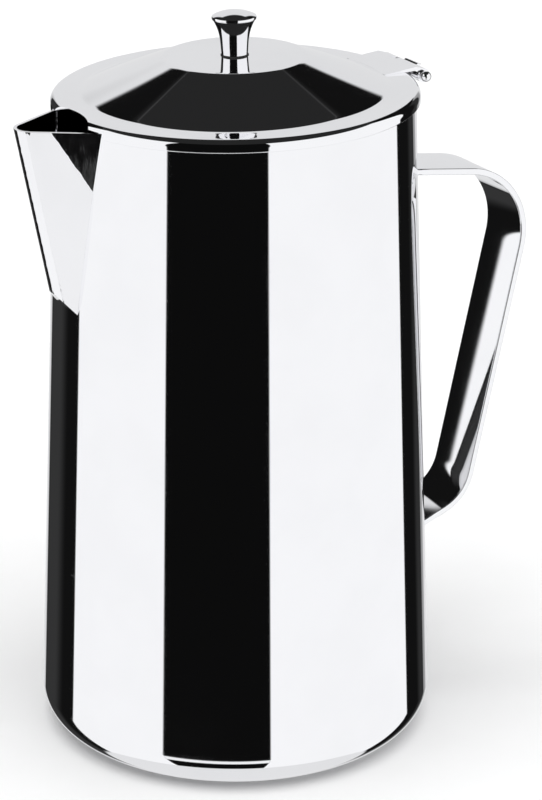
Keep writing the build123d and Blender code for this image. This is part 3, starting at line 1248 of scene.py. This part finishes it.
@dataclass
class Knob:
    """The turned knob, its gasket, and the screw and washer inside the lid. Millimetres."""

    foot_radius: float = 3.9
    waist_radius: float = 4.3
    head_radius: float = 6.5
    height: float = 11.2
    crown: float = 1.6
    edge: float = 0.7
    gasket_thickness: float = 0.25
    gasket_overhang: float = 0.2
    screw_radius: float = 1.5
    screw_depth: float = 7.0
    foot_ease: float = 0.2
    waist_share: float = 0.55
    flare_start: float = 0.25
    flare_power: float = 2.6
    segments: int = 96

    def profile(self, foot: float) -> list[Pair]:
        """The knob's outline, from the end of its thread round to the crown.

        Args:
            foot: height of the knob's lower face.

        Returns:
            Points of radius and height.
        """
        rim = foot + self.height
        points = [(0.0, foot + self.screw_depth), (self.screw_radius, foot + self.screw_depth)]
        ease = self.foot_ease
        points += [(self.screw_radius, foot), (self.foot_radius - ease, foot)]
        points += [(self.foot_radius, foot + ease)]
        # The waist swells slowly, then flares out to the head
        flare = self.height - self.edge
        full_swell = (self.waist_radius - self.foot_radius) / self.waist_share
        rest = self.head_radius - self.foot_radius - full_swell
        steps = 24
        for i in range(1, steps + 1):
            share = i / steps
            bend = max(0.0, (share - self.flare_start) / (1 - self.flare_start)) ** self.flare_power
            radius = self.foot_radius + full_swell * share + rest * bend
            points.append((radius, foot + ease + (flare - ease) * share))
        # The head's edge is rounded, and flatter than a half circle
        half_edge, edge_inset, flatness, steps = self.edge / 2, 0.1, 0.3, 7
        for i in range(1, steps):
            turn = math.pi * (i / steps - 0.5)
            radius = self.head_radius - edge_inset + flatness * half_edge * math.cos(turn)
            points.append((radius, rim - half_edge + half_edge * math.sin(turn)))
        ball = (self.head_radius**2 + self.crown**2) / (2 * self.crown)
        crown_share, steps = 0.985, 19
        for i in range(steps + 1):
            reach = self.head_radius * (1 - i / steps) * crown_share
            points.append((reach, rim + self.crown - ball + math.sqrt(ball**2 - reach**2)))
        return points

    def build(self, lid: Lid, pot: PotBody) -> list[bpy.types.Object]:
        """Make the knob and its gasket, and dress the screw and washer.

        Args:
            lid: the lid that the knob stands on.
            pot: the body under the lid.

        Returns:
            The new pieces.
        """
        top = lid.sheet + lid.dome_height
        foot = top + self.gasket_thickness
        seed = line_mesh("knob_outline", self.profile(foot), closed=False)
        knob = grow(seed, turned_shell_tree(), "knob_turned", {"Segments": self.segments})
        knob.data.transform(lid.place(pot))
        finish = lid.finish("knob_polish", pot, roughness=0.05, line_slope=6.0e-7, wave_slope=0.0)
        settle(knob, Body.LID, ["knob"], finish)

        outer, inner = self.foot_radius + self.gasket_overhang, lid.bore
        ease = self.gasket_overhang / 4
        ring = [(inner, top), (outer - ease, top), (outer, top + ease), (outer, foot - ease)]
        ring += [(outer - ease, foot), (inner, foot)]
        seed = line_mesh("gasket_outline", ring, closed=True)
        gasket = grow(seed, turned_shell_tree(), "knob_gasket_ring", {"Segments": self.segments})
        gasket.data.transform(lid.place(pot))
        settle(gasket, Body.LID, ["knob_gasket"], GasketRubber())
        plain = lid.finish("fixing_plain", pot, roughness=0.22, haze=0.12, tint=(0.62, 0.62, 0.64))
        for node in ("knob_screw", "knob_washer"):
            dress_drawn(node, plain)
        return [knob, gasket]


@dataclass
class Hinge:
    """The lid's leaf, the body's bracket and the pin."""

    ease: float = 0.18

    def build(self) -> list[bpy.types.Object]:
        """Make the three pieces from their drawn parts, with eased edges.

        Returns:
            The leaf, the bracket and the pin.
        """
        leaf = eased_copy("hinge_leaf", "hinge_leaf_skin", self.ease)
        bracket = eased_copy("hinge_bracket", "hinge_bracket_skin", self.ease)
        pin = eased_copy("hinge_pin", "hinge_pin_skin", self.ease / 3)
        settle(leaf, Body.LID, ["hinge_leaf"], HINGE_FINISH)
        settle(bracket, Body.POT, ["hinge_bracket"], HINGE_FINISH)
        settle(pin, Body.POT, ["hinge_pin"], HINGE_FINISH)
        return [leaf, bracket, pin]


def dress_drawn(node: str, finish: PolishedSteel) -> None:
    """Give a drawn part that stays in view its finish.

    Args:
        node: the drawn part.
        finish: its finish.
    """
    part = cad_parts[node]
    part.data.materials.clear()
    part.data.materials.append(finish.material())
    log.info("%s: drawn part, dressed", node)


# ------------------------------------------------------------------------ studio
@dataclass(frozen=True)
class Panel:
    """One patch of the studio's surroundings. Degrees; heading 0 is towards the camera."""

    name: str
    heading: Pair
    height: Pair
    level: float
    softness: float = 1.0


@dataclass
class Studio:
    """Floor, surroundings, one soft lamp and the camera.

    Angles are in degrees. The camera looks down by pitch from eye_height, in metres, and
    stands at side round the pot, distance away from its axis.
    """

    heading: float = 28.739
    side: float = 28.0
    pitch: float = 21.607
    roll: float = 0.2529
    distance: float = 0.8336
    eye_height: float = 0.42195
    lens: float = 133.125
    shift_y: float = 0.03875
    backdrop: float = 0.78
    panels: tuple[Panel, ...] = (
        Panel("left softbox", (-111, -42), (-90, 45), 1.0),
        Panel("right softbox", (21, 123), (-90, 45), 1.0),
        Panel("right fringe", (153, 160), (-90, 20), 0.35, 4.0),
        Panel("left flag", (-158, -111), (-90, 45), 0.006),
        Panel("left flag, far part", (-158, -130), (-90, 20), 0.035, 14.0),
        Panel("right flag", (123, 153), (-90, 20), 0.006),
        Panel("right flag, far part", (142, 153), (-90, 20), 0.03, 8.0),
        Panel("right flag, high", (123, 163), (19, 45), 0.006),
        Panel("dark front", (-42, 21), (-90, 60), 0.004),
        Panel("ceiling", (-200, 200), (44, 91), 0.02, 3.0),
        Panel("bench edge", (-42, 21), (-27, -24.2), 0.05, 0.6),
        Panel("bench", (-42, 21), (-34, -26.7), 0.94, 0.6),
        Panel("table", (-200, 200), (-91, -52), 0.82, 2.0),
    )

    def sky(self) -> None:
        """Build the surroundings: pale to the camera, panels to everything else."""
        world = bpy.data.worlds.new("studio_surroundings")
        bpy.context.scene.world = world
        world.use_nodes = True
        world.node_tree.nodes.clear()
        write = TreeWriter(world.node_tree)
        look = write.add("ShaderNodeTexCoord")
        turned = write.add(
            "ShaderNodeMapping",
            Vector=look.outputs["Generated"],
            Rotation=(0.0, 0.0, math.radians(self.heading)),
        )
        parts = write.add("ShaderNodeSeparateXYZ", Vector=turned.outputs[0])
        x, y, z = parts.outputs
        back = write.math("MULTIPLY", y, -1.0)
        heading = write.math("DEGREES", write.math("ARCTAN2", x, back))
        height = write.math("DEGREES", write.math("ARCSINE", z))
        level: object = self.backdrop
        for panel in self.panels:
            cover = write.math(
                "MULTIPLY", self.within(write, heading, panel.heading, panel.softness),
                self.within(write, height, panel.height, panel.softness),
            )
            mixed = write.add(
                "ShaderNodeMix", {"data_type": "FLOAT"}, in_0=cover, in_2=level, in_3=panel.level
            )
            mixed.label = panel.name
            level = mixed.outputs[0]
        light = write.add("ShaderNodeBackground", Color=(0.985, 0.99, 1.0, 1.0), Strength=level)
        pale = write.add("ShaderNodeBackground", Color=(1.0, 1.0, 1.0, 1.0), Strength=1.0)
        seen = write.add("ShaderNodeLightPath")
        both = write.add(
            "ShaderNodeMixShader",
            in_0=seen.outputs["Is Camera Ray"],
            in_1=light.outputs[0],
            in_2=pale.outputs[0],
        )
        write.add("ShaderNodeOutputWorld", Surface=both.outputs[0])

    @staticmethod
    def within(
        write: TreeWriter, value: bpy.types.NodeSocket, limits: Pair, softness: float
    ) -> bpy.types.NodeSocket:
        """A mask that is 1 between two limits and 0 outside.

        Args:
            write: the world's writer.
            value: the angle to test, in degrees.
            limits: the two limits, in degrees.
            softness: how many degrees each end takes.

        Returns:
            The mask as a socket.
        """
        rise = write.ramp(value, limits[0] - softness / 2, limits[0] + softness / 2)
        fall = write.ramp(value, limits[1] - softness / 2, limits[1] + softness / 2, 1.0, 0.0)
        return write.math("MULTIPLY", rise, fall)

    def floor(self) -> bpy.types.Object:
        """Lay a pale matt floor. Mirrors look past it at the surroundings.

        Returns:
            The floor.
        """
        mesh = bpy.data.meshes.new("floor")
        edge, level = 8.0, -0.0001
        mesh.from_pydata(
            [(-edge, -edge, level), (edge, -edge, level), (edge, edge, level), (-edge, edge, level)],
            [],
            [(0, 1, 2, 3)],
        )
        material = bpy.data.materials.new("pale_floor")
        material.use_nodes = True
        material.node_tree.nodes.clear()
        write = TreeWriter(material.node_tree)
        place = write.add("ShaderNodeTexCoord")
        noise = write.add("ShaderNodeTexNoise", Vector=place.outputs["Object"], Scale=60.0, Detail=2.0)
        tone = write.add(
            "ShaderNodeMix",
            {"data_type": "RGBA"},
            in_0=noise.outputs[0],
            in_6=(0.93, 0.93, 0.93, 1.0),
            in_7=(0.95, 0.95, 0.95, 1.0),
        )
        paper = write.add("ShaderNodeBsdfPrincipled", Base_Color=tone.outputs[2], Roughness=0.9)
        write.add("ShaderNodeOutputMaterial", Surface=paper.outputs[0])
        mesh.materials.append(material)
        made = bpy.data.objects.new("floor", mesh)
        bpy.context.scene.collection.objects.link(made)
        made.visible_glossy = False
        return made

    def lamp(self) -> None:
        """A soft lamp overhead that fills the floor and isn't seen in the steel."""
        light = bpy.data.lights.new("overhead", "SUN")
        light.energy = 2.9
        light.angle = math.radians(70)
        lamp = bpy.data.objects.new("overhead", light)
        lamp.rotation_euler = (math.radians(8), math.radians(-6), 0.0)
        lamp.visible_glossy = False
        bpy.context.scene.collection.objects.link(lamp)

    def camera(self) -> None:
        """Set the camera at the studio's angle."""
        heading, pitch, roll = (math.radians(a) for a in (self.heading, self.pitch, self.roll))
        forward = Vector(
            (math.sin(heading) * math.cos(pitch), math.cos(heading) * math.cos(pitch), -math.sin(pitch))
        )
        level_right = Vector((math.cos(heading), -math.sin(heading), 0.0))
        level_up = level_right.cross(forward)
        right = level_right * math.cos(roll) + level_up * math.sin(roll)
        up = right.cross(forward)
        side = math.radians(self.side)
        away = self.distance
        eye = Vector((-math.sin(side) * away, -math.cos(side) * away, self.eye_height))
        data = bpy.data.cameras.new("camera")
        data.lens = self.lens
        data.sensor_width = 36.0
        data.sensor_fit = "AUTO"
        data.shift_y = self.shift_y
        data.clip_start, data.clip_end = 0.05, 40.0
        camera = bpy.data.objects.new("camera", data)
        turn = Matrix((right, up, -forward)).transposed().to_4x4()
        camera.matrix_world = Matrix.Translation(eye) @ turn
        bpy.context.scene.collection.objects.link(camera)
        bpy.context.scene.camera = camera

    def build(self) -> None:
        """Set up the whole studio."""
        self.sky()
        self.floor()
        self.lamp()
        self.camera()
        bpy.context.scene.view_settings.view_transform = "Standard"
        log.info("studio: %d panels", len(self.panels))


WALL_FINISH = PolishedSteel("wall_mirror")
BASE_FINISH = PolishedSteel("base_mirror", haze=0.05)
SPOUT_FINISH = PolishedSteel("spout_polish", grain=Grain.LENGTHWISE, roughness=0.04, dished=True)
STRAP_FINISH = PolishedSteel("strap_mirror", grain=Grain.LENGTHWISE, crown=1.5, twist=-0.024)
HINGE_FINISH = PolishedSteel("hinge_polish", grain=Grain.NONE, roughness=0.06)


def main() -> None:
    """Build the pot and its studio, in order."""
    logging.basicConfig(level=logging.INFO, format="%(name)s: %(message)s")
    pot, spout, lid = PotBody(), Spout(), Lid()
    pot.build(spout)
    spout.build()
    StrapHandle().build(pot)
    lid.build(pot, spout)
    Knob().build(lid, pot)
    Hinge().build()
    Studio().build()


if __name__ == "__main__":
    main()
